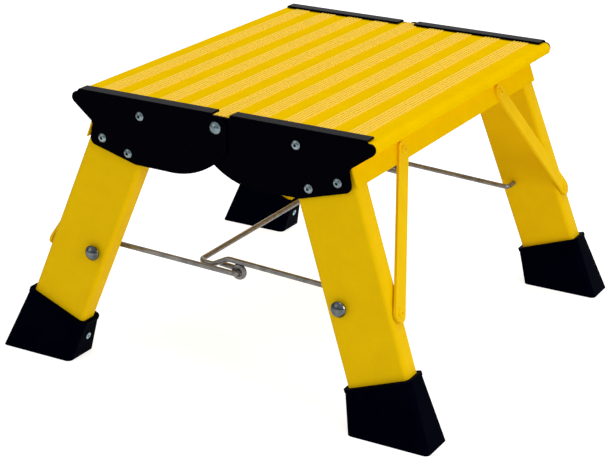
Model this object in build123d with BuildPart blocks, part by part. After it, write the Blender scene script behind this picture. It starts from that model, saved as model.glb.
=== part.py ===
from build123d import *
import os
from math import asin, atan, cos, degrees, hypot, radians, sin, sqrt, tan

# Folding one-step stool. X runs across the hinge, Y along it, +Z is up, feet on Z = 0.
# The stool is two identical halves: the left one is the right one turned half a turn about Z.

# overall
TOP_Z = 261.0              # top of the black end-plate lips
PLATE_Y = 200.0            # outer face of an outer end plate
PLATE_T = 2.0
PLATE_GAP = 0.2            # running gap between overlapping end plates
LIP_W = 15.0               # depth of the lip folded over the tread
LIP_OUT_R = 1.8            # rounding of the lip's outer and inner edges
LIP_IN_R = 0.8
LIP_END_X = 144.6
LUG_X = 153.3              # outermost point of an inner end plate
OUTER_LUG_X = 151.4        # the same on an outer one
OUTER_BASE = PLATE_Y - PLATE_T                 # tread end and leg face behind an outer plate
INNER_BASE = OUTER_BASE - PLATE_GAP - PLATE_T  # the same behind an inner plate

# hinge
PIN_Z = 248.5
PIN_R = 3.0
PIN_BORE_R = 3.06
PIN_HEAD_R = 5.7

# tread extrusion
SHEET_Z = 258.2            # smooth top between the grip bands
GRIP_Z = 259.0             # tips of the grip ribs, under the lips
SHEET_T = 2.0
SEAM_X = 0.15
NOSE_X = 151.6
NOSE_IN_X = 149.4
BAND_PITCH = 31.3
GRIP_PITCH = 3.35
GRIP_W = 2.0
GRIP_ROOT = 1.8            # rib height, part of it sunk in the sheet
STIFFENER_T = 2.0
STIFFENERS = ((28.0, 249.6), (52.0, 249.6), (76.0, 253.2), (100.0, 253.2))   # X, lower edge
FLANGE_Z = 250.2           # lower edge of the flange at the seam

# legs
LEAN = 0.375               # outward run per mm of drop, along X
SPLAY = 0.075              # outward run per mm of drop, along Y
SPLAY_Z = 198.5            # the leg face touches the plate at this height
LEG_REF_Z = 130.0
LEG_OUT_X = 169.0          # outer face of the leg at LEG_REF_Z
LEG_W = 64.4               # horizontal width
LEG_D = 21.0
LEG_WALL = 2.0
LEG_R = 4.5
LEG_TOP = 252.4
LEG_FOOT = 8.0
SKIRT_T = 1.5              # horizontal thickness of the tread skirt
SKIRT_LOW = 217.3

# boots
SOLE_X = (146.0, 224.5)
SOLE_D = 39.3
GROOVE_W = 4.0
GROOVE_DEPTH = 1.3
GROOVE_MARGIN = 5.0        # the sole grooves stop this far short of its edges
SOLE_SHIFT = 5.25          # sole centre, outward from the plate plane
BOOT_TOP_Z = 48.4
BOOT_TOP = (67.4, 28.0)
RIM_H = 3.0

# fasteners
RIVET_R = 2.0
RIVET_HEAD_R = 4.15
RIVET_HEAD_H = 1.9
PLATE_RIVETS = ((78.4, 246.0), (119.0, 219.3), (91.5, 209.3))
SCREW_Z = 20.0
SCREW_R = 1.5
SCREW_L = 3.4
SCREW_HEAD_R = 3.2
SCREW_HEAD_H = 1.9
SCREW_SEAT = 1.0           # depth of the head's seat in the boot
SLOT_W, SLOT_L, SLOT_DEPTH = 0.8, 4.0, 0.6

# wire spreader
WIRE_R = 2.5
WIRE_BORE_R = 2.56
PIVOT = (127.5, 109.0)
JOINT_X, JOINT_Z = 6.0, 105.0
EYE_R = 5.15               # centreline radius of the bail's eyes
ARM_Y = 168.0              # plane of the locking bail's arms
STAY_Y = 174.5             # plane of the stay hooks' arms
BAIL_X = -37.0
BAIL_Z = 106.8
CAP_R = 7.3
CAP_RIM = 1.4
CAP_H = 5.4
CAP_STAND = 2.4            # gap between a cap and the leg face at the cap's lower edge

# braces
BRACE_W = 16.0
BRACE_T = 2.5
BRACE_TOP_Z = 226.0
BRACE_LOW_Z = 111.0
BRACE_RUN = 85.0           # how far the brace travels along Y

SLOPE = sqrt(1.0 + LEAN * LEAN)


def leg_x(z):
    return LEG_OUT_X - LEG_W / 2 - LEAN * (z - LEG_REF_Z)


def leg_y(z, base):
    return base + SPLAY * (SPLAY_Z - z) - LEG_D / 2


def rounded_path(corners, closed=True):
    """Lines and arcs through corners given as (point, radius)."""
    points = [Vector(*c[0]) for c in corners]
    radii = [c[1] for c in corners]
    count = len(points)
    cuts = []
    for i, point in enumerate(points):
        if radii[i] == 0 or (not closed and i in (0, count - 1)):
            cuts.append((point, None, point))
            continue
        before = (points[i - 1] - point).normalized()
        after = (points[(i + 1) % count] - point).normalized()
        half = radians(before.get_angle(after)) / 2
        reach = radii[i] / tan(half)
        middle = (before + after).normalized()
        centre = point + middle * (radii[i] / sin(half))
        cuts.append((point + before * reach, centre - middle * radii[i], point + after * reach))
    last = count if closed else count - 1
    for i in range(count):
        start, middle, end = cuts[i]
        if middle is not None:
            ThreePointArc(start, middle, end)
        if i < last:
            Line(end, cuts[(i + 1) % count][0])


def make_tread():
    """Right tread: grooved top, rounded nose, sloping web and skirt."""
    skirt_x = LEG_OUT_X + SKIRT_T - LEAN * (SKIRT_LOW - LEG_REF_Z)
    web_z = 234.6
    web_x = LEG_OUT_X + SKIRT_T - LEAN * (web_z - LEG_REF_Z)
    profile = [
        ((SEAM_X, SHEET_Z), 0), ((NOSE_X, SHEET_Z), 5.5), ((NOSE_X, 248.7), 3.0),
        ((web_x, web_z), 1.0), ((skirt_x, SKIRT_LOW), 0.5),
        ((skirt_x - SKIRT_T, SKIRT_LOW), 0.5), ((web_x - SKIRT_T - 0.4, web_z + 1.07), 1.0),
        ((NOSE_IN_X, 249.6), 2.0), ((NOSE_IN_X, SHEET_Z - SHEET_T), 3.0),
        ((SEAM_X + 2.0, SHEET_Z - SHEET_T), 1.0), ((SEAM_X + 2.0, FLANGE_Z), 0),
        ((SEAM_X, FLANGE_Z), 0)]
    with BuildPart() as tread:
        with BuildSketch(Plane.XZ.offset(-OUTER_BASE)):
            with BuildLine():
                rounded_path(profile)
            make_face()
            for x, low in STIFFENERS:
                with Locations((x, (low + SHEET_Z - 1) / 2)):
                    Rectangle(STIFFENER_T, SHEET_Z - 1 - low)
            for band in range(5):
                for step in range(-2, 3):
                    x = band * BAND_PITCH + step * GRIP_PITCH
                    if x > GRIP_W:
                        with Locations((x, GRIP_Z - GRIP_ROOT / 2)):
                            Rectangle(GRIP_W, GRIP_ROOT)
            with Locations((SEAM_X + GRIP_W / 4, GRIP_Z - GRIP_ROOT / 2)):
                Rectangle(GRIP_W / 2, GRIP_ROOT)
        extrude(amount=OUTER_BASE + INNER_BASE)
        # the seam flange stops short of the hinge pins
        for y in (-INNER_BASE, OUTER_BASE):
            with Locations((7.5, y, 250.0)):
                Box(17.0, 22.0, 12.3, mode=Mode.SUBTRACT)
        # room for the other half's inner plate
        with Locations((6.5, OUTER_BASE, 254.0)):
            Box(15.0, 2 * (PLATE_T + PLATE_GAP + 0.2), 14.0, mode=Mode.SUBTRACT)
        with Locations([(x, side * (base - 4), z) for x, z in PLATE_RIVETS
                        for side, base in ((-1, INNER_BASE), (1, OUTER_BASE))]):
            Cylinder(RIVET_R, 20, rotation=(90, 0, 0), mode=Mode.SUBTRACT)
        for side, base in ((-1, INNER_BASE), (1, OUTER_BASE)):
            with Locations(brace_plane()):
                with Locations(brace_ends(side, base)[0]):
                    Cylinder(RIVET_R, 12, mode=Mode.SUBTRACT)
    return tread.part


def lip_start(outer):
    """Where the lip begins beside the hinge: the inner plate's stays clear of the outer one."""
    return 5.0 if outer else 12.6


def plate_outline(outer):
    """Corners of an end plate, outboard end at +X, drawn in X and Z."""
    lobe_x, lobe_z, lobe_r = (45.0, 270.2, 70.6) if outer else (42.5, 270.9, 72.6)
    boss = 11.0 if outer else 10.0
    lip_x = lip_start(outer)
    foot = lobe_z - sqrt(lobe_r ** 2 - (lobe_x + boss) ** 2)
    low = lobe_z - lobe_r
    lean = 0.42
    mid = (lobe_x - lobe_r * lean, lobe_z - lobe_r * sqrt(1 - lean ** 2))
    reach = 3.2 if outer else 0.0
    top = (reach, PIN_Z + sqrt(boss ** 2 - reach ** 2))
    corner = boss * sqrt(0.5)
    lug_x = OUTER_LUG_X if outer else LUG_X
    Line((lobe_x, low), (84.0, low + 0.6))
    Line((84.0, low + 0.6), (125.6, 211.2))
    ThreePointArc((125.6, 211.2), (130.6, 213.9), (131.7, 219.3))
    Line((131.7, 219.3), (129.5, 230.6))
    Line((129.5, 230.6), (130.6, 233.6))
    Line((130.6, 233.6), (lug_x - 2.0, 248.7))
    ThreePointArc((lug_x - 2.0, 248.7), (lug_x, 253.2), (lug_x - 3.6, 258.4))
    Line((lug_x - 3.6, 258.4), (LIP_END_X + 1.0, 258.7))
    Line((LIP_END_X + 1.0, 258.7), (LIP_END_X, TOP_Z))
    Line((LIP_END_X, TOP_Z), (lip_x, TOP_Z))
    if outer:
        Line((lip_x, TOP_Z), top)
    else:
        Line((lip_x, TOP_Z), (lip_x, PIN_Z + boss))
        Line((lip_x, PIN_Z + boss), top)
    ThreePointArc(top, (-corner, PIN_Z + corner), (-boss, PIN_Z))
    Line((-boss, PIN_Z), (-boss, foot))
    ThreePointArc((-boss, foot), mid, (lobe_x, low))


def make_plate(outer):
    """End plate with its lip. The inner one is at the near end, the outer one at the far end."""
    side = 1 if outer else -1
    base = OUTER_BASE if outer else INNER_BASE
    bore = PIN_R if outer else PIN_BORE_R
    lip_x = lip_start(outer)
    face = base + PLATE_T
    with BuildPart() as plate:
        with BuildSketch(Plane.XZ.offset(-side * base)):
            with BuildLine():
                plate_outline(outer)
            make_face()
            with Locations((0, PIN_Z)):
                Circle(bore, mode=Mode.SUBTRACT)
            with Locations(PLATE_RIVETS):
                Circle(RIVET_R, mode=Mode.SUBTRACT)
        extrude(amount=-side * PLATE_T)
        with BuildSketch(Plane.YZ.offset(lip_x)):
            with Locations((side * (face - LIP_W / 2), TOP_Z - PLATE_T / 2)):
                Rectangle(LIP_W, PLATE_T)
        extrude(amount=LIP_END_X - lip_x)
        with BuildSketch(Plane.YZ.offset(-200)):
            with BuildLine():
                rounded_corner_cut(side * face, TOP_Z, -side, LIP_OUT_R)
            make_face()
            with BuildLine():
                rounded_corner_cut(side * (face - LIP_W), TOP_Z, side, LIP_IN_R)
            make_face()
        extrude(amount=400, mode=Mode.SUBTRACT)
    return plate.part


def rounded_corner_cut(y, z, inward, radius):
    """The sliver outside a rounded top edge, drawn in Y and Z."""
    away = 0.05
    turn = radius * (1 - sqrt(0.5))
    Line((y, z - radius), (y - inward * away, z - radius))
    Line((y - inward * away, z - radius), (y - inward * away, z + away))
    Line((y - inward * away, z + away), (y + inward * radius, z + away))
    Line((y + inward * radius, z + away), (y + inward * radius, z))
    ThreePointArc((y + inward * radius, z), (y + inward * turn, z - turn), (y, z - radius))


def leg_section(top, base, side, shrink=0.0):
    """The leg's level section at height top."""
    with BuildSketch(Plane.XY.offset(top)) as section:
        with Locations((leg_x(top), side * leg_y(top, base))):
            RectangleRounded(LEG_W - 2 * shrink * SLOPE, LEG_D - 2 * shrink, LEG_R - 0.8 * shrink)
    return section.sketch


def leg_run(drop):
    """Length of the leaning axis over a drop."""
    return drop * hypot(LEAN, SPLAY, 1.0)


def make_leg(side, base):
    with BuildPart() as leg:
        way = (LEAN, side * SPLAY, -1.0)
        extrude(leg_section(LEG_TOP, base, side), amount=leg_run(LEG_TOP - LEG_FOOT), dir=way)
        extrude(leg_section(LEG_TOP + 5, base, side, LEG_WALL),
                amount=leg_run(LEG_TOP - LEG_FOOT + 10), dir=way, mode=Mode.SUBTRACT)
        with Locations((PIVOT[0], side * leg_y(PIVOT[1], base), PIVOT[1])):
            Cylinder(WIRE_BORE_R, 40, rotation=(90, 0, 0), mode=Mode.SUBTRACT)
        with Locations([(x, side * base, z) for x, z in PLATE_RIVETS]):
            Cylinder(RIVET_R, 20, rotation=(90, 0, 0), mode=Mode.SUBTRACT)
        with Locations(brace_plane()):
            with Locations(brace_ends(side, base)[1]):
                Cylinder(RIVET_R, 18, mode=Mode.SUBTRACT)
    return leg.part


def make_boot(side, base):
    """Flared rubber boot, its mouth square to the leg and its sole flat on the floor."""
    tilt = Vector(-LEAN, 0, 1).normalized()
    across = Vector(1, 0, LEAN).normalized()
    mouth = Plane(origin=(leg_x(BOOT_TOP_Z), side * leg_y(BOOT_TOP_Z, base), BOOT_TOP_Z),
                  x_dir=across, z_dir=tilt)
    low = mouth.offset(-RIM_H)
    slip = Vector(0, -side * SPLAY * RIM_H * 0.9, 0)
    low = Plane(origin=low.origin - slip, x_dir=across, z_dir=tilt)
    sole_x = sum(SOLE_X) / 2
    with BuildPart() as boot:
        with BuildSketch(Plane.XY):
            with Locations((sole_x, side * (base + SOLE_SHIFT))):
                RectangleRounded(SOLE_X[1] - SOLE_X[0], SOLE_D, 5.0)
        with BuildSketch(low):
            RectangleRounded(BOOT_TOP[0], BOOT_TOP[1], 5.5)
        loft()
        with BuildSketch(low):
            RectangleRounded(BOOT_TOP[0] + 1.4, BOOT_TOP[1] + 1.4, 6.2)
        extrude(amount=RIM_H)
        extrude(leg_section(100.0, base, side), amount=leg_run(100.0 - LEG_FOOT),
                dir=(LEAN, side * SPLAY, -1.0), mode=Mode.SUBTRACT)
        for step in range(-2, 3):
            with Locations((sole_x + step * 13.0, side * (base + SOLE_SHIFT), 0)):
                Box(GROOVE_W, SOLE_D - 2 * GROOVE_MARGIN, 2 * GROOVE_DEPTH, mode=Mode.SUBTRACT)
        with Locations(boot_screw_plane(side, base)):
            Cylinder(SCREW_HEAD_R + 0.1, 2 * SCREW_SEAT, mode=Mode.SUBTRACT)
            Cylinder(SCREW_R, 12.0, mode=Mode.SUBTRACT)
    return boot.part


def boot_screw_plane(side, base):
    """Plane on the boot's face toward the middle of the stool, looking out of it."""
    rim_x = leg_x(BOOT_TOP_Z) + (RIM_H * LEAN - BOOT_TOP[0] / 2) / SLOPE
    rim_z = BOOT_TOP_Z - (RIM_H + BOOT_TOP[0] / 2 * LEAN) / SLOPE
    drift = (SOLE_X[0] - rim_x) / rim_z
    spot = (SOLE_X[0] - drift * SCREW_Z, side * (base + 2.2), SCREW_Z)
    return Plane(origin=spot, x_dir=(0, 1, 0), z_dir=(-1, 0, -drift))


def make_boot_screws():
    with BuildPart() as screws:
        for side, base in ((-1, INNER_BASE), (1, OUTER_BASE)):
            seat = boot_screw_plane(side, base).offset(-SCREW_SEAT)
            with BuildSketch(seat):
                Circle(SCREW_HEAD_R)
            extrude(amount=SCREW_HEAD_H)
            with BuildSketch(seat):
                Circle(SCREW_R)
            extrude(amount=-SCREW_L)
            with BuildSketch(seat.offset(SCREW_HEAD_H - SLOT_DEPTH)):
                Rectangle(SLOT_W, SLOT_L)
                Rectangle(SLOT_L, SLOT_W)
            extrude(amount=2 * SLOT_DEPTH, mode=Mode.SUBTRACT)
    return screws.part


def brace_plane():
    """Plane of the skirt's outer face: local x along Y, local y up the slope."""
    return Plane(origin=(LEG_OUT_X + SKIRT_T, 0, LEG_REF_Z), x_dir=(0, 1, 0), z_dir=(1, 0, LEAN))


def brace_ends(side, base):
    low_y = side * leg_y(BRACE_LOW_Z, base)
    top_y = low_y - side * BRACE_RUN
    top = (top_y, (BRACE_TOP_Z - LEG_REF_Z) * SLOPE, 0)
    low = (low_y, (BRACE_LOW_Z - LEG_REF_Z) * SLOPE, 0)
    return top, low


def make_brace(side, base):
    top, low = brace_ends(side, base)
    run = Vector(*top) - Vector(*low)
    plane = brace_plane()
    middle = ((top[0] + low[0]) / 2, (top[1] + low[1]) / 2)
    with BuildPart() as brace:
        with BuildSketch(plane):
            with Locations(middle):
                SlotCenterToCenter(run.length, BRACE_W, rotation=degrees(atan(run.Y / run.X)))
        extrude(amount=BRACE_T)
        # pressed seat that takes up the step down to the leg
        with BuildSketch(plane):
            with Locations((low[0], low[1])):
                Circle(6.5)
        extrude(amount=-SKIRT_T / SLOPE)
        with BuildSketch(plane.offset(-5)):
            with Locations((top[0], top[1]), (low[0], low[1])):
                Circle(RIVET_R)
        extrude(amount=10, mode=Mode.SUBTRACT)
    return brace.part


def rivet_profile(plane, grip):
    """Half section of a domed blind rivet on plane, its shank going grip deep below it."""
    with BuildSketch(Plane(origin=plane.origin, x_dir=plane.x_dir, z_dir=-plane.y_dir)) as profile:
        with BuildLine():
            Line((0, -grip), (RIVET_R, -grip))
            Line((RIVET_R, -grip), (RIVET_R, 0))
            Line((RIVET_R, 0), (RIVET_HEAD_R, 0))
            Line((RIVET_HEAD_R, 0), (RIVET_HEAD_R, 0.5))
            ThreePointArc((RIVET_HEAD_R, 0.5), (3.0, 1.45), (1.4, RIVET_HEAD_H))
            Line((1.4, RIVET_HEAD_H), (1.1, 0.7))
            Line((1.1, 0.7), (0, 0.7))
            Line((0, 0.7), (0, -grip))
        make_face()
    return profile.sketch


def make_plate_rivets(side, base):
    face = base + PLATE_T
    with BuildPart() as rivets:
        for x, z in PLATE_RIVETS:
            reach = PLATE_T + LEG_WALL + 0.6 - SPLAY * min(0.0, SPLAY_Z - z)
            plane = Plane(origin=(x, side * face, z), x_dir=(1, 0, 0), z_dir=(0, side, 0))
            revolve(rivet_profile(plane, reach), axis=Axis(plane.origin, plane.z_dir))
    return rivets.part


def make_brace_rivets():
    with BuildPart() as rivets:
        for side, base in ((-1, INNER_BASE), (1, OUTER_BASE)):
            plane = brace_plane()
            for end, reach in zip(brace_ends(side, base), (0.4, 2.4)):
                spot = plane.from_local_coords(Vector(end[0], end[1], BRACE_T))
                seat = Plane(origin=spot, x_dir=plane.x_dir, z_dir=plane.z_dir)
                revolve(rivet_profile(seat, BRACE_T + SKIRT_T / SLOPE + reach),
                        axis=Axis(spot, plane.z_dir))
    return rivets.part


def dome_middle(radius, height):
    """Middle point, out and up, of a dome's half section whose centre is on the axis."""
    ball = (radius ** 2 + height ** 2) / (2 * height)
    half = asin(radius / ball) / 2
    return ball * sin(half), height - ball * (1 - cos(half))


def make_hinge_pin():
    """Pin fixed in the outer plate at +Y, running in the inner plate."""
    with BuildPart() as pin:
        with BuildSketch(Plane.YZ):
            with BuildLine():
                rounded_pin()
            make_face()
        revolve(axis=Axis((0, 0, PIN_Z), (0, 1, 0)))
    return pin.part


def rounded_pin():
    tail = INNER_BASE - 3.4
    Line((tail, PIN_Z), (tail, PIN_Z + 2.6))
    ThreePointArc((tail, PIN_Z + 2.6), (tail + 0.5, PIN_Z + 4.0), (tail + 1.8, PIN_Z + 4.6))
    Line((tail + 1.8, PIN_Z + 4.6), (tail + 1.8, PIN_Z + PIN_R))
    Line((tail + 1.8, PIN_Z + PIN_R), (PLATE_Y, PIN_Z + PIN_R))
    Line((PLATE_Y, PIN_Z + PIN_R), (PLATE_Y, PIN_Z + PIN_HEAD_R))
    Line((PLATE_Y, PIN_Z + PIN_HEAD_R), (PLATE_Y + 0.8, PIN_Z + PIN_HEAD_R))
    out, up = dome_middle(PIN_HEAD_R, 2.8)
    ThreePointArc((PLATE_Y + 0.8, PIN_Z + PIN_HEAD_R), (PLATE_Y + 0.8 + up, PIN_Z + out),
                  (PLATE_Y + 3.6, PIN_Z))
    Line((PLATE_Y + 3.6, PIN_Z), (tail, PIN_Z))


def make_hinge_washer():
    with BuildPart() as washer:
        with BuildSketch(Plane.XZ.offset(-(INNER_BASE - 0.3))):
            with Locations((0, PIN_Z)):
                Circle(6.2)
                Circle(PIN_R, mode=Mode.SUBTRACT)
        extrude(amount=1.3)
    return washer.part


def cap_seat(base):
    """How far out a wire cap's back stands, clear of the leaning leg face."""
    return base + SPLAY * (SPLAY_Z - PIVOT[1] + CAP_R) + CAP_STAND


def make_cap(x, side, base):
    """Push-on domed cap on a wire end."""
    seat = cap_seat(base)
    plane = Plane(origin=(x, side * seat, PIVOT[1]), x_dir=(1, 0, 0), z_dir=(0, side, 0))
    profile = Plane(origin=plane.origin, x_dir=plane.x_dir, z_dir=-plane.y_dir)
    out, up = dome_middle(CAP_R, CAP_H - CAP_RIM)
    with BuildPart() as cap:
        with BuildSketch(profile):
            with BuildLine():
                Line((WIRE_R, 0), (CAP_R, 0))
                Line((CAP_R, 0), (CAP_R, CAP_RIM))
                ThreePointArc((CAP_R, CAP_RIM), (out, CAP_RIM + up), (0, CAP_H))
                Line((0, CAP_H), (0, CAP_H - 1.3))
                Line((0, CAP_H - 1.3), (WIRE_R, CAP_H - 1.3))
                Line((WIRE_R, CAP_H - 1.3), (WIRE_R, 0))
            make_face()
        revolve(axis=Axis(plane.origin, plane.z_dir))
    return cap.part


def wire_end(base):
    return cap_seat(base) + CAP_H - 1.3


def wire_route(corners):
    """Path through (point, bend radius) corners, and the wire's section at its start."""
    start = Vector(*corners[0][0])
    way = (Vector(*corners[1][0]) - start).normalized()
    with BuildLine() as path:
        rounded_path(corners, closed=False)
    with BuildSketch(Plane(origin=start, x_dir=(0, 0, 1), z_dir=way)) as section:
        Circle(WIRE_R)
    return section.sketch, path.wires()[0]


def make_locking_bail():
    """One wire pivoted in both right legs, with an eye on each arm and a cross bar."""
    x, z = PIVOT
    half = [((-6.0, 115.0), 9.0), ((-21.5, BAIL_Z), 9.0), ((BAIL_X, BAIL_Z), 9.0)]
    corners = [((x, -wire_end(INNER_BASE), z), 0), ((x, -ARM_Y, z), 5.5)]
    corners += [((px, -ARM_Y, pz), r) for (px, pz), r in half]
    corners += [((px, ARM_Y, pz), r) for (px, pz), r in reversed(half)]
    corners += [((x, ARM_Y, z), 5.5), ((x, wire_end(OUTER_BASE), z), 0)]
    section, route = wire_route(corners)
    with BuildPart() as bail:
        sweep(section, path=route)
        with Locations((JOINT_X, -ARM_Y, JOINT_Z), (JOINT_X, ARM_Y, JOINT_Z)):
            Torus(EYE_R, WIRE_R, rotation=(90, 0, 0))
    return bail.part


def make_stay_hook(side, base):
    """Short wire from a left leg whose turned end sits at the bail's eye."""
    x, z = PIVOT
    corners = [((-x, side * wire_end(base), z), 0), ((-x, side * STAY_Y, z), 5.5),
               ((JOINT_X, side * STAY_Y, JOINT_Z), 3.0), ((JOINT_X, side * (ARM_Y + 3.0), JOINT_Z), 0)]
    section, route = wire_route(corners)
    with BuildPart() as hook:
        sweep(section, path=route)
    return hook.part


def save(part, label):
    part.label = label
    export_step(part, f"parts/{label}.step")


def turned(part):
    return part.rotate(Axis.Z, 180)


os.makedirs("parts", exist_ok=True)

# right half, then the same part turned for the left half
HALF = {
    "tread": make_tread(),
    "brace_rivets": make_brace_rivets(),
    "boot_screws": make_boot_screws(),
}
ENDS = {}
for end, side, base, outer in (("near", -1, INNER_BASE, False), ("far", 1, OUTER_BASE, True)):
    ENDS[end, "end_plate"] = make_plate(outer)
    ENDS[end, "leg"] = make_leg(side, base)
    ENDS[end, "boot"] = make_boot(side, base)
    ENDS[end, "brace"] = make_brace(side, base)
    ENDS[end, "plate_rivets"] = make_plate_rivets(side, base)

OTHER = {"near": "far", "far": "near"}
for name, part in HALF.items():
    save(part, f"right_{name}")
    save(turned(part), f"left_{name}")
for (end, name), part in ENDS.items():
    save(part, f"right_{end}_{name}")
    save(turned(part), f"left_{OTHER[end]}_{name}")

pin = make_hinge_pin()
washer = make_hinge_washer()
save(pin, "far_hinge_pin")
save(washer, "far_hinge_washer")
save(turned(pin), "near_hinge_pin")
save(turned(washer), "near_hinge_washer")

save(make_locking_bail(), "locking_bail")
save(make_cap(PIVOT[0], -1, INNER_BASE), "bail_near_cap")
save(make_cap(PIVOT[0], 1, OUTER_BASE), "bail_far_cap")
save(make_stay_hook(-1, OUTER_BASE), "near_stay_hook")
save(make_stay_hook(1, INNER_BASE), "far_stay_hook")
save(make_cap(-PIVOT[0], -1, OUTER_BASE), "near_hook_cap")
save(make_cap(-PIVOT[0], 1, INNER_BASE), "far_hook_cap")
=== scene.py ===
import math

import bpy
from mathutils import Matrix, Vector


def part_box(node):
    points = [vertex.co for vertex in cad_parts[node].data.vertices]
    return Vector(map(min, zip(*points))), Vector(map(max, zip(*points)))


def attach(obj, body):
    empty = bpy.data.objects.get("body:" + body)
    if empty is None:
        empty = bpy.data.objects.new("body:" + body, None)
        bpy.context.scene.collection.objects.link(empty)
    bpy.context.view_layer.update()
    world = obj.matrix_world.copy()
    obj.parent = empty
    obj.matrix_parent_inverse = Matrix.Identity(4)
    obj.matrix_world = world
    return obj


# Looks of a folding one-step stool. Metres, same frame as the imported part: X across the hinge,
# Y along it, +Z up, floor on Z = 0.

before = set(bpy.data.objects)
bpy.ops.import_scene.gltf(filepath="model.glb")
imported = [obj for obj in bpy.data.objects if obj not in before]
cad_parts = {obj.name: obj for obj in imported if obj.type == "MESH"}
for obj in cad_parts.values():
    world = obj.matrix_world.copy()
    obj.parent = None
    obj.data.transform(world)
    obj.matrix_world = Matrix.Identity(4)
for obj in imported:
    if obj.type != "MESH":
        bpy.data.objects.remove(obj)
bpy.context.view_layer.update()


def rgb(red, green, blue):
    return (red, green, blue, 1.0)


# camera: its place, its turn about Z, its tilt down and its roll, and a lens in millimetres
EYE = Vector((0.7563, -1.4280, 0.6996))
TURN, TILT, ROLL = (math.radians(angle) for angle in (28.457, 20.673, 1.207))
LENS = 102.87
SENSOR = 36.0

# tread: the bands of grip ribs, as the extrusion has them, and how deep the ribbed top goes; the
# painted sheen follows them
BAND_PITCH = 0.0313
BAND_HALF = 0.0080
BAND_EDGE = 0.0003
BAND_LAST = 4.5 * BAND_PITCH
TOP_DEPTH = 0.0014

# stay hook tails: where the hook's wire goes on through the bail's eye and turns back
WIRE_R = 0.0025
TAIL_R = 0.00248
TAIL_LAP = 0.0003
TAIL_REACH = 0.0035
TAIL_BEND = 0.0055
TAIL_STEPS = 8
TAIL_LENGTH = 0.018
TAIL_RISE = 0.0014
TAIL_ROUNDNESS = 8

# yellow powder coat: two tones that blotch into each other, and a painted sheen that makes the
# tread's ribs paler
YELLOW = rgb(0.885, 0.555, 0.0)
YELLOW_DEEP = rgb(0.84, 0.515, 0.0)
# painted sheen: the paler yellow of the tread's ribs stands in for the light the ribs catch
RIB_SHEEN_YELLOW = rgb(0.96, 0.665, 0.075)
COAT_IOR = 1.10
COAT_CLOUD = 0.022
COAT_SPECK = 0.0016
CLOUD_SHARE = 0.6
BLEND_RANGE = (0.36, 0.64)
PEEL_SIZE = 0.0011
COAT_ROUGH = (0.38, 0.50)

# black: the coated end plates and the rubber boots
PLATE_DARK = rgb(0.0001, 0.0001, 0.0012)
PLATE_LIGHT = rgb(0.0003, 0.0003, 0.0026)
PLATE_GLOSS = 0.01
PLATE_GRAIN = 0.0012
PLATE_ROUGH = (0.22, 0.32)
RUBBER_DARK = rgb(0.0001, 0.0002, 0.0020)
RUBBER_LIGHT = rgb(0.0004, 0.0009, 0.0046)
RUBBER_GLOSS = 0.004
RUBBER_TINT = rgb(0.08, 0.35, 1.0)
RUBBER_CLOUD = 0.03
RUBBER_GRAIN = 0.0009
RUBBER_ROUGH = (0.36, 0.46)

# metals: the light and the dark tone and the range of roughness of each
RIVET_LOOK = (rgb(0.34, 0.43, 0.46), rgb(0.14, 0.19, 0.21), (0.20, 0.30))
ZINC_LOOK = (rgb(0.50, 0.78, 0.88), rgb(0.40, 0.62, 0.72), (0.25, 0.35))
PIN_LOOK = (rgb(0.31, 0.41, 0.44), rgb(0.15, 0.21, 0.23), (0.18, 0.26))
WASHER_LOOK = (rgb(0.6, 0.6, 0.6), rgb(0.4, 0.4, 0.4), (0.3, 0.4))
CAP_LOOK = (rgb(0.19, 0.215, 0.225), rgb(0.07, 0.08, 0.085), (0.12, 0.18))
WIRE_LOOK = (rgb(0.30, 0.295, 0.29), rgb(0.17, 0.165, 0.16), (0.20, 0.30))
METAL_CLOUD = 0.006
METAL_GRAIN = 0.0006
WIRE_GRAIN = 0.0005
WIRE_METALLIC = 0.6
# painted shade: the near-black colour, reach and occlusion range that darken the metals' hollows,
# such as rivet holes, where shade falls
HOLLOW_SHADE = rgb(0.006, 0.009, 0.010)
HOLLOW_SHADE_REACH = 0.0025
HOLLOW_SHADE_RANGE = (0.50, 0.85)

# depths of the bumps, and the range that most of a noise pattern lies in
FINE_BUMP = 0.00002
COARSE_BUMP = 0.00005
NOISE_RANGE = (0.3, 0.7)

# studio: a white floor, a sky, and softboxes with their place, size and power in watts
FLOOR_HALF = 9.0
FLOOR_Z = -0.0002
FLOOR_GLOW = 0.74
FLOOR_BOUNCE = 0.40
FLOOR_BLOTCH = 0.4
FLOOR_TONES = (rgb(0.60, 0.60, 0.61), rgb(0.62, 0.62, 0.63))
WHITE = rgb(1.0, 1.0, 1.0)
HORIZON = rgb(0.40, 0.40, 0.41)
SKY_RANGE = (0.02, 0.62)
SKY_STRENGTH = 0.50
LIGHT_AIM = (0.0, 0.0, 0.12)
SOFTBOXES = {
    "key": ((2.3, -0.75, 1.05), (0.7, 1.2), 20.0),
    "fill": ((-1.6, -2.2, 1.6), (1.8, 1.8), 8.0),
    "top": ((0.2, 0.4, 2.6), (2.4, 2.4), 28.0),
    "back": ((-0.9, 2.6, 1.0), (2.4, 1.4), 10.0),
}


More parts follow.
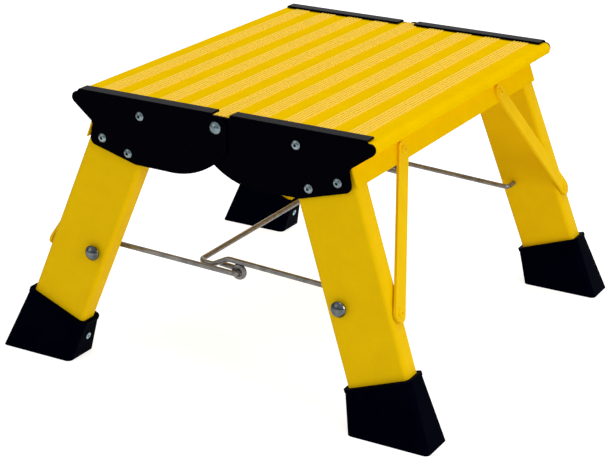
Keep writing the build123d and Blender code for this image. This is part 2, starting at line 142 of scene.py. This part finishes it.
# ---------------------------------------------------------------- node helpers
class Surface:
    """A material with one Principled shader, and short ways to wire patterns into it."""

    def __init__(self, name, **sockets):
        self.material = bpy.data.materials.new(name)
        self.material.use_nodes = True
        self.tree = self.material.node_tree
        self.shader = self.tree.nodes["Principled BSDF"]
        for socket, value in sockets.items():
            self.shader.inputs[socket.replace("_", " ")].default_value = value
        self.place = self.tree.nodes.new("ShaderNodeTexCoord").outputs["Object"]

    def feed(self, sockets, values):
        """Links each value that is a socket, and sets each one that is a number or a colour."""
        for key, value in values.items():
            if isinstance(value, bpy.types.NodeSocket):
                self.tree.links.new(value, sockets[key])
            else:
                sockets[key].default_value = value

    def node(self, kind, inputs=(), **settings):
        made = self.tree.nodes.new(kind)
        for key, value in settings.items():
            setattr(made, key, value)
        self.feed(made.inputs, dict(inputs))
        return made

    def noise(self, size, detail=2.0):
        """Noise from 0 to 1 whose blotches are about size metres across."""
        inputs = {"Vector": self.place, "Scale": 1 / size, "Detail": detail}
        return self.node("ShaderNodeTexNoise", inputs).outputs["Fac"]

    def spread(self, value, source, target, smooth=False):
        """value, from the range source, carried over to the range target."""
        inputs = {"Value": value, "From Min": source[0], "From Max": source[1]}
        inputs.update({"To Min": target[0], "To Max": target[1]})
        kind = "SMOOTHSTEP" if smooth else "LINEAR"
        return self.node("ShaderNodeMapRange", inputs, interpolation_type=kind).outputs["Result"]

    def math(self, operation, *values):
        return self.node("ShaderNodeMath", dict(enumerate(values)), operation=operation).outputs[0]

    def mix(self, share, first, second):
        """The first colour where share is 0, the second where it is 1."""
        made = self.node("ShaderNodeMix", data_type="RGBA")
        sockets = {socket.name: socket for socket in made.inputs if socket.enabled}
        self.feed(sockets, {"Factor": share, "A": first, "B": second})
        return next(socket for socket in made.outputs if socket.enabled)

    def paint(self, socket, value):
        self.tree.links.new(value, self.shader.inputs[socket])

    def bump(self, height, depth, strength):
        inputs = {"Height": height, "Distance": depth, "Strength": strength}
        self.paint("Normal", self.node("ShaderNodeBump", inputs).outputs["Normal"])


# ---------------------------------------------------------------- materials
def powder_coat(surface):
    """Colour and grain of the yellow powder coat: faint blotches and a fine orange peel."""
    cloud = surface.math("MULTIPLY", surface.noise(COAT_CLOUD, detail=3.0), CLOUD_SHARE)
    speck = surface.noise(COAT_SPECK)
    blend = surface.math("ADD", cloud, surface.math("MULTIPLY", speck, 1 - CLOUD_SHARE))
    surface.paint("Roughness", surface.spread(speck, NOISE_RANGE, COAT_ROUGH))
    surface.bump(surface.noise(PEEL_SIZE, detail=1.0), COARSE_BUMP, strength=0.5)
    return surface.mix(surface.spread(blend, BLEND_RANGE, (0.0, 1.0)), YELLOW_DEEP, YELLOW)


def make_yellow():
    surface = Surface("yellow_coat", IOR=COAT_IOR)
    surface.paint("Base Color", powder_coat(surface))
    return surface.material


def make_tread_coat():
    """The same coat, with a painted sheen: the ribbed bands that run along the tread are painted
    paler, standing in for the light the ribs catch.
    """
    surface = Surface("tread_coat", Specular_IOR_Level=0.0)
    coat = powder_coat(surface)
    split = surface.node("ShaderNodeSeparateXYZ", {"Vector": surface.place})
    across = surface.math("ABSOLUTE", split.outputs["X"])
    from_band = surface.math("PINGPONG", across, BAND_PITCH / 2)
    edge = (BAND_HALF - BAND_EDGE, BAND_HALF + BAND_EDGE)
    # painted sheen mask: 1 on the ribbed bands of the tread's top, where the paler yellow is painted
    rib_sheen_band = surface.spread(from_band, edge, (1.0, 0.0), smooth=True)
    inside = surface.math("LESS_THAN", across, BAND_LAST)
    top_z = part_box("left_tread")[1].z - TOP_DEPTH
    top = surface.math("GREATER_THAN", split.outputs["Z"], top_z)
    share = surface.math("MULTIPLY", surface.math("MULTIPLY", rib_sheen_band, inside), top)
    surface.paint("Base Color", surface.mix(share, coat, RIB_SHEEN_YELLOW))
    return surface.material


def make_black_coat():
    surface = Surface("black_coat", Specular_IOR_Level=PLATE_GLOSS)
    grain = surface.noise(PLATE_GRAIN)
    surface.paint("Base Color", surface.mix(grain, PLATE_DARK, PLATE_LIGHT))
    surface.paint("Roughness", surface.spread(grain, NOISE_RANGE, PLATE_ROUGH))
    surface.bump(grain, FINE_BUMP, strength=0.3)
    return surface.material


def make_rubber():
    surface = Surface("black_rubber", Specular_IOR_Level=RUBBER_GLOSS, Specular_Tint=RUBBER_TINT)
    cloud = surface.noise(RUBBER_CLOUD)
    surface.paint("Base Color", surface.mix(cloud, RUBBER_DARK, RUBBER_LIGHT))
    surface.paint("Roughness", surface.spread(cloud, NOISE_RANGE, RUBBER_ROUGH))
    surface.bump(surface.noise(RUBBER_GRAIN), COARSE_BUMP, strength=0.6)
    return surface.material


def make_metal(name, look, grain_size=METAL_GRAIN, metallic=1.0):
    """Bare or plated metal with blotched tone, fine scratches and painted shade: an occlusion mask
    darkens its hollows.
    """
    light, dark, rough = look
    surface = Surface(name, Metallic=metallic)
    cloud = surface.noise(METAL_CLOUD, detail=3.0)
    grain = surface.noise(grain_size, detail=3.0)
    bare = surface.mix(surface.spread(cloud, NOISE_RANGE, (0.0, 1.0)), dark, light)
    # painted shade: where the occlusion node finds a hollow, the base colour goes to near-black
    open_sky = surface.node("ShaderNodeAmbientOcclusion", {"Distance": HOLLOW_SHADE_REACH}, only_local=True)
    share = surface.spread(open_sky.outputs["AO"], HOLLOW_SHADE_RANGE, (0.0, 1.0))
    surface.paint("Base Color", surface.mix(share, HOLLOW_SHADE, bare))
    surface.paint("Roughness", surface.spread(grain, NOISE_RANGE, rough))
    surface.bump(grain, FINE_BUMP, strength=0.4)
    return surface.material


def make_looks():
    """The finish of each kind of part, under the ending that the parts' names share."""
    yellow = make_yellow()
    wire = make_metal("steel_wire", WIRE_LOOK, grain_size=WIRE_GRAIN, metallic=WIRE_METALLIC)
    return {
        "tread": make_tread_coat(),
        "leg": yellow,
        "brace": yellow,
        "brace_rivets": yellow,
        "end_plate": make_black_coat(),
        "boot": make_rubber(),
        "plate_rivets": make_metal("rivet_alloy", RIVET_LOOK),
        "boot_screws": make_metal("zinc", ZINC_LOOK),
        "hinge_pin": make_metal("pin_steel", PIN_LOOK),
        "hinge_washer": make_metal("washer_steel", WASHER_LOOK),
        "locking_bail": wire,
        "stay_hook": wire,
        "cap": make_metal("cap_steel", CAP_LOOK),
    }


def finish_nodes(looks):
    """Gives every carried-over part the finish that its name calls for."""
    for name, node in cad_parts.items():
        ending = max((key for key in looks if name.endswith(key)), key=len)
        for slot in node.material_slots:
            slot.material = looks[ending]


# ---------------------------------------------------------------- hook tails
def tail_route(end, side):
    """Points along a tail: on through the bail's eye, a quarter turn, and a straight end."""
    low, high = (Vector(corner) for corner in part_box(f"{end}_stay_hook"))
    joint_x = high.x - WIRE_R
    start_y = side * min(abs(low.y), abs(high.y))
    height = low.z + WIRE_R
    bend_y = start_y - side * TAIL_REACH
    route = [(joint_x, start_y + side * TAIL_LAP, height), (joint_x, bend_y, height)]
    for step in range(1, TAIL_STEPS + 1):
        angle = math.pi / 2 * step / TAIL_STEPS
        turn_x = joint_x - TAIL_BEND * (1 - math.cos(angle))
        turn_y = bend_y - side * TAIL_BEND * math.sin(angle)
        route.append((turn_x, turn_y, height))
    tip_x, tip_y, _ = route[-1]
    route.append((tip_x - TAIL_LENGTH, tip_y, height + TAIL_RISE))
    return route


def wire_mesh(name, route):
    """A round wire along the route, as a mesh."""
    curve = bpy.data.curves.new(name, "CURVE")
    curve.dimensions = "3D"
    curve.bevel_depth = TAIL_R
    curve.bevel_resolution = TAIL_ROUNDNESS
    curve.use_fill_caps = True
    spline = curve.splines.new("POLY")
    spline.points.add(len(route) - 1)
    for point, place in zip(spline.points, route):
        point.co = (*place, 1.0)
    shape = bpy.data.objects.new(f"{name}_shape", curve)
    mesh = bpy.data.meshes.new_from_object(shape)
    bpy.data.objects.remove(shape)
    mesh.shade_smooth()
    return mesh


def add_hook_tail(end, side, look):
    """The stay hook's wire goes on through the bail's eye, turns back and ends beside the arm."""
    name = f"{end}_hook_tail"
    mesh = wire_mesh(name, tail_route(end, side))
    mesh.materials.clear()
    mesh.materials.append(look)
    piece = bpy.data.objects.new(name, mesh)
    bpy.context.scene.collection.objects.link(piece)
    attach(piece, f"{end}_stay_hook")


# ---------------------------------------------------------------- studio
def add_floor():
    """A white cyclorama to look at, which throws back less light than it seems to."""
    mesh = bpy.data.meshes.new("studio_floor")
    signs = ((-1, -1), (1, -1), (1, 1), (-1, 1))
    corners = [(x * FLOOR_HALF, y * FLOOR_HALF, FLOOR_Z) for x, y in signs]
    mesh.from_pydata(corners, [], [(0, 1, 2, 3)])
    floor = bpy.data.objects.new("studio_floor", mesh)
    bpy.context.scene.collection.objects.link(floor)
    surface = Surface("floor_white", Specular_IOR_Level=0.0, Roughness=1.0, Emission_Color=WHITE)
    seen = surface.node("ShaderNodeLightPath").outputs["Is Camera Ray"]
    glow = surface.spread(seen, (0.0, 1.0), (FLOOR_BOUNCE, FLOOR_GLOW))
    surface.paint("Emission Strength", glow)
    surface.paint("Base Color", surface.mix(surface.noise(FLOOR_BLOTCH), *FLOOR_TONES))
    mesh.materials.append(surface.material)


def add_softbox(name, place, size, power):
    data = bpy.data.lights.new(name, "AREA")
    data.shape = "RECTANGLE"
    data.size, data.size_y = size
    data.energy = power
    lamp = bpy.data.objects.new(name, data)
    lamp.location = place
    facing = Vector(LIGHT_AIM) - Vector(place)
    lamp.rotation_euler = facing.to_track_quat("-Z", "Y").to_euler()
    bpy.context.scene.collection.objects.link(lamp)


def add_world():
    """A white studio: bright overhead, greyer toward the horizon."""
    world = bpy.data.worlds.new("studio")
    bpy.context.scene.world = world
    world.use_nodes = True
    nodes, links = world.node_tree.nodes, world.node_tree.links
    place = nodes.new("ShaderNodeTexCoord")
    split = nodes.new("ShaderNodeSeparateXYZ")
    ramp = nodes.new("ShaderNodeValToRGB")
    links.new(place.outputs["Generated"], split.inputs[0])
    links.new(split.outputs["Z"], ramp.inputs[0])
    stops = zip(ramp.color_ramp.elements, SKY_RANGE, (HORIZON, WHITE))
    for element, position, colour in stops:
        element.position = position
        element.color = colour
    links.new(ramp.outputs[0], nodes["Background"].inputs["Color"])
    nodes["Background"].inputs["Strength"].default_value = SKY_STRENGTH


def add_camera():
    back = Vector((math.sin(TURN) * math.cos(TILT), -math.cos(TURN) * math.cos(TILT), math.sin(TILT)))
    right = Vector((math.cos(TURN), math.sin(TURN), 0.0))
    axes = Matrix((right, back.cross(right), back)).transposed() @ Matrix.Rotation(ROLL, 3, "Z")
    data = bpy.data.cameras.new("camera")
    data.lens = LENS
    data.sensor_width = SENSOR
    camera = bpy.data.objects.new("camera", data)
    camera.matrix_world = Matrix.Translation(EYE) @ axes.to_4x4()
    bpy.context.scene.collection.objects.link(camera)
    bpy.context.scene.camera = camera


bpy.context.scene.view_settings.view_transform = "Standard"
looks = make_looks()
finish_nodes(looks)
add_hook_tail("near", -1, looks["stay_hook"])
add_hook_tail("far", 1, looks["stay_hook"])
add_floor()
add_world()
for name, (place, size, power) in SOFTBOXES.items():
    add_softbox(name, place, size, power)
add_camera()
